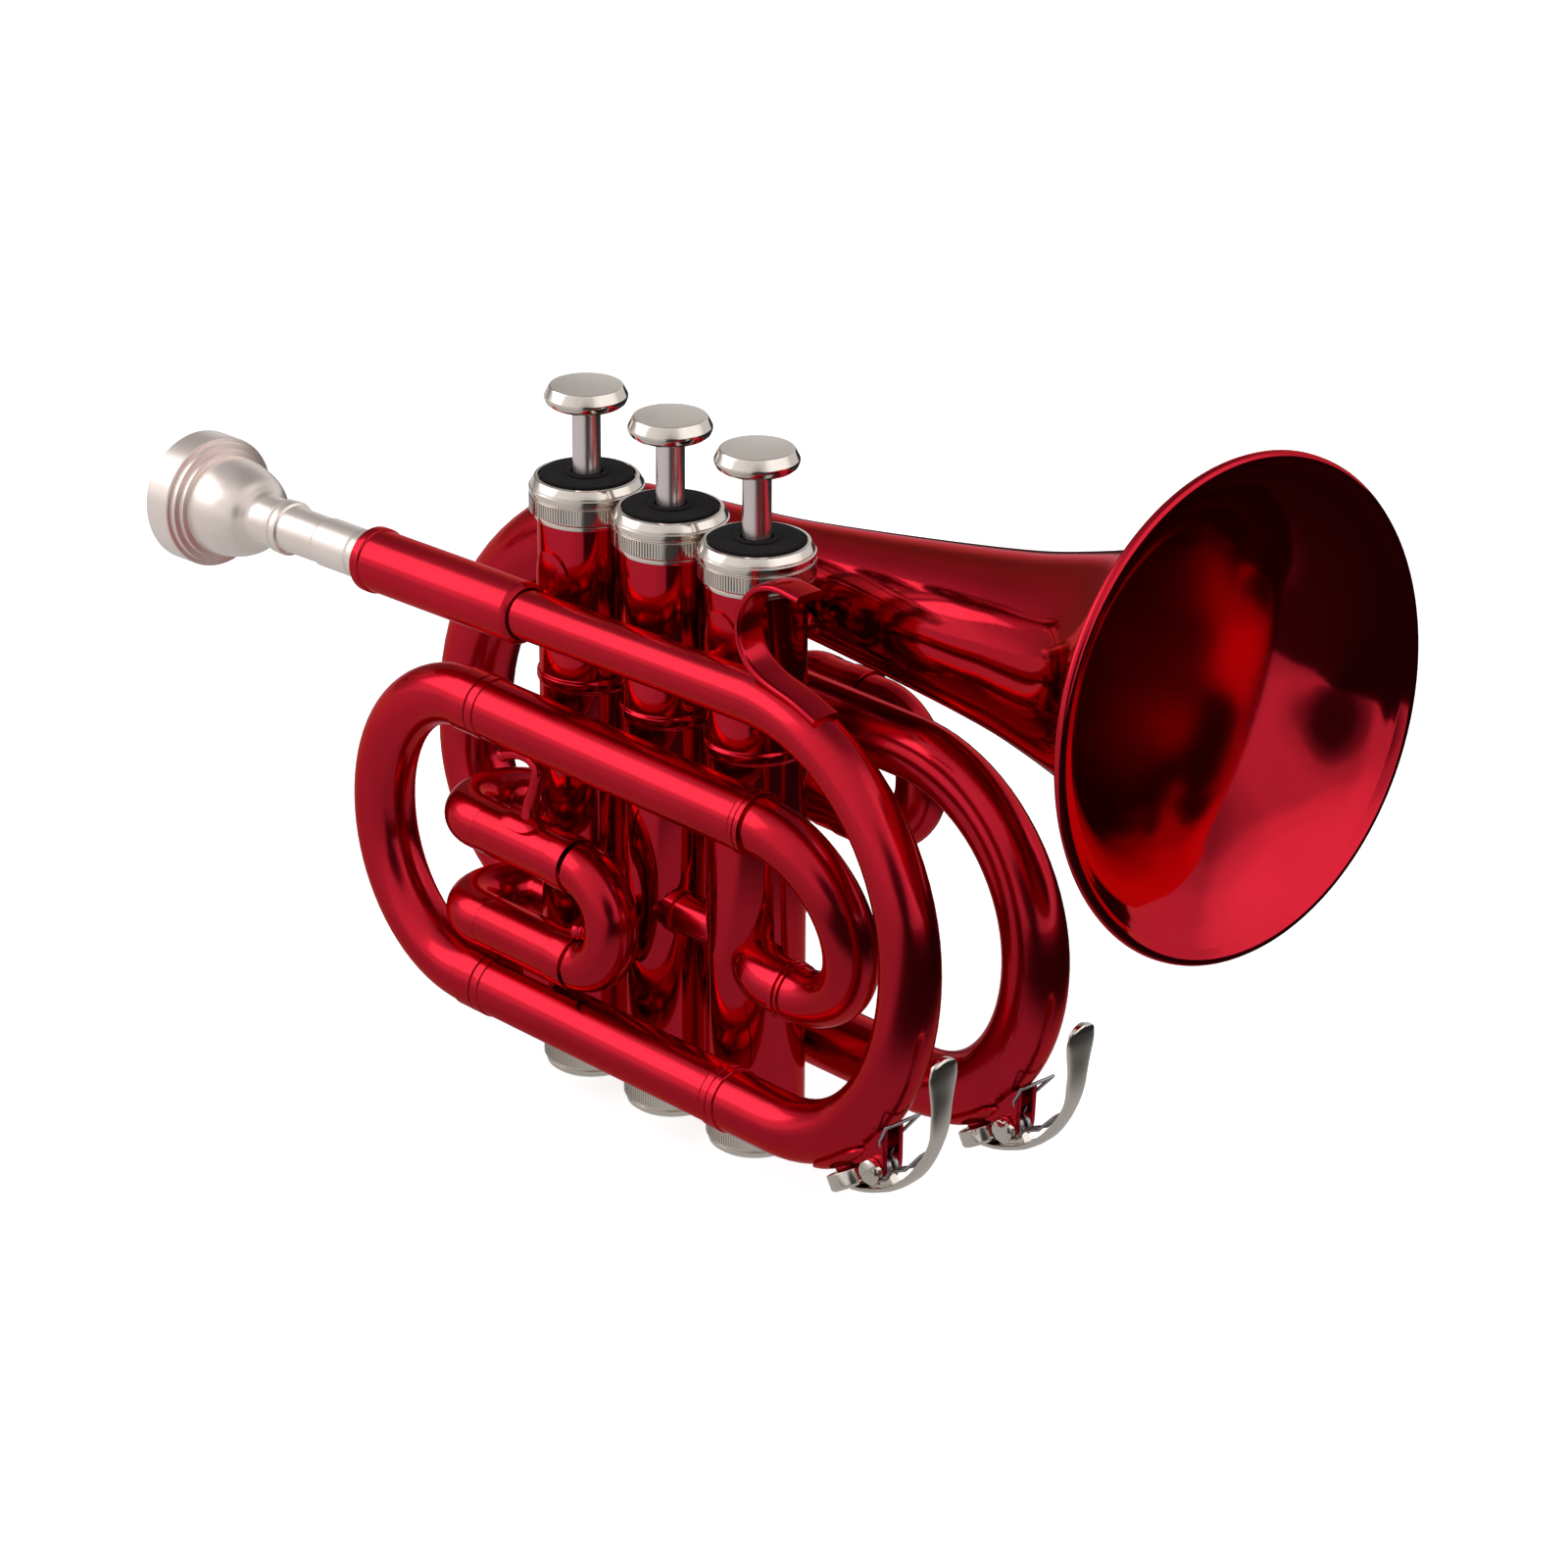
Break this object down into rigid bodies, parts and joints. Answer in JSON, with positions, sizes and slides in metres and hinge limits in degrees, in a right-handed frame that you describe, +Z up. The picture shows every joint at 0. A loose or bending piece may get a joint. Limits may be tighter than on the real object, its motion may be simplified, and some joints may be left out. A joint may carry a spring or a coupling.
{
  "type": "pocket trumpet",
  "caption": "Compact red lacquered trumpet with piston valves, tightly wrapped tubing, tuning slides, water keys, a finger hook, a mouthpiece and a flared bell.",
  "frame": {"origin": "centre of the middle valve's bottom cap face", "axes": "+X forward to the bell, +Y to the player's left, +Z up along the valves, towards the finger buttons"},
  "size_m": [0.2524, 0.1035, 0.1607],
  "materials": {
    "red_lacquer": "candy red metallic lacquer over polished metal, high gloss",
    "nickel_plate": "polished nickel plate",
    "black_felt": "dense black felt",
    "guide_plastic": "moulded off-white plastic",
    "spring_steel": "drawn spring wire",
    "piston_alloy": "honed nickel alloy",
    "silver_plate": "polished silver plate",
    "cork": "pressed cork"
  },
  "bodies": {
    "body": {"mouthpiece_receiver": "red_lacquer", "leadpipe": "red_lacquer", "leadpipe_front_bow": "red_lacquer", "tuning_outer_tube_upper": "red_lacquer", "tuning_outer_tube_lower": "red_lacquer", "inner_bow": "red_lacquer", "valve_casing_1": "red_lacquer", "valve_casing_2": "red_lacquer", "valve_casing_3": "red_lacquer", "intervalve_tube_1_2": "red_lacquer", "intervalve_tube_2_3": "red_lacquer", "first_slide_tube_upper": "red_lacquer", "first_slide_tube_lower": "red_lacquer", "second_slide_tube_upper": "red_lacquer", "second_slide_tube_lower": "red_lacquer", "third_slide_tube_upper": "red_lacquer", "third_slide_tube_lower": "red_lacquer", "bell_side_upper_tube": "red_lacquer", "bell_side_front_bow": "red_lacquer", "bell_tail_bow": "red_lacquer", "bell": "red_lacquer", "finger_hook": "red_lacquer", "leadpipe_brace_1": "red_lacquer", "leadpipe_brace_3": "red_lacquer", "slide_brace_upper": "red_lacquer", "slide_brace_lower": "red_lacquer", "bell_brace_1": "red_lacquer", "bell_brace_3": "red_lacquer", "water_key_saddle_1": "red_lacquer", "water_key_saddle_2": "red_lacquer", "top_cap_1": "nickel_plate", "bottom_cap_1": "nickel_plate", "cap_felt_1": "black_felt", "valve_guide_1": "guide_plastic", "valve_spring_1": "spring_steel", "top_cap_2": "nickel_plate", "bottom_cap_2": "nickel_plate", "cap_felt_2": "black_felt", "valve_guide_2": "guide_plastic", "valve_spring_2": "spring_steel", "top_cap_3": "nickel_plate", "bottom_cap_3": "nickel_plate", "cap_felt_3": "black_felt", "valve_guide_3": "guide_plastic", "valve_spring_3": "spring_steel"},
    "valve_1": {"piston_1": "piston_alloy", "finger_button_1": "nickel_plate"},
    "valve_2": {"piston_2": "piston_alloy", "finger_button_2": "nickel_plate"},
    "valve_3": {"piston_3": "piston_alloy", "finger_button_3": "nickel_plate"},
    "tuning_slide": {"main_tuning_slide": "red_lacquer"},
    "first_slide": {"first_valve_slide": "red_lacquer"},
    "second_slide": {"second_valve_slide": "red_lacquer"},
    "third_slide": {"third_valve_slide": "red_lacquer"},
    "mouthpiece": {"mouthpiece": "silver_plate"},
    "water_key_1": {"water_key_lever_1": "nickel_plate", "water_key_cork_1": "cork"},
    "water_key_2": {"water_key_lever_2": "nickel_plate", "water_key_cork_2": "cork"}
  },
  "joints": [
    {"name": "valve_1_press", "type": "slide", "parent": "body", "child": "valve_1", "axis": [0, 0, -1], "range_m": [0, 0.0115], "stiffness_N_per_m": 120, "springref_m": -0.018, "deforming": ["valve_spring_1"]},
    {"name": "valve_2_press", "type": "slide", "parent": "body", "child": "valve_2", "axis": [0, 0, -1], "range_m": [0, 0.0115], "stiffness_N_per_m": 120, "springref_m": -0.018, "deforming": ["valve_spring_2"]},
    {"name": "valve_3_press", "type": "slide", "parent": "body", "child": "valve_3", "axis": [0, 0, -1], "range_m": [0, 0.0115], "stiffness_N_per_m": 120, "springref_m": -0.018, "deforming": ["valve_spring_3"]},
    {"name": "main_tuning_slide_pull", "type": "slide", "parent": "body", "child": "tuning_slide", "axis": [-1, 0, 0], "range_m": [0, 0.025]},
    {"name": "first_valve_slide_pull", "type": "slide", "parent": "body", "child": "first_slide", "axis": [1, 0, 0], "range_m": [0, 0.015]},
    {"name": "second_valve_slide_pull", "type": "slide", "parent": "body", "child": "second_slide", "axis": [0, 1, 0], "range_m": [0, 0.006]},
    {"name": "third_valve_slide_pull", "type": "slide", "parent": "body", "child": "third_slide", "axis": [1, 0, 0], "range_m": [0, 0.007]},
    {"name": "mouthpiece_pull", "type": "slide", "parent": "body", "child": "mouthpiece", "axis": [-0.9994, 0, -0.035], "range_m": [0, 0.024]},
    {"name": "water_key_1_hinge", "type": "hinge", "parent": "body", "child": "water_key_1", "pos_m": [0.07841, -0.018, 0.02107], "axis": [0, -1, 0], "range_deg": [0, 7], "stiffness_Nm_per_rad": 0.03, "springref_deg": -28.65},
    {"name": "water_key_2_hinge", "type": "hinge", "parent": "body", "child": "water_key_2", "pos_m": [0.07758, 0.0175, 0.01725], "axis": [0, -1, 0], "range_deg": [0, 7], "stiffness_Nm_per_rad": 0.03, "springref_deg": -28.65}
  ]
}
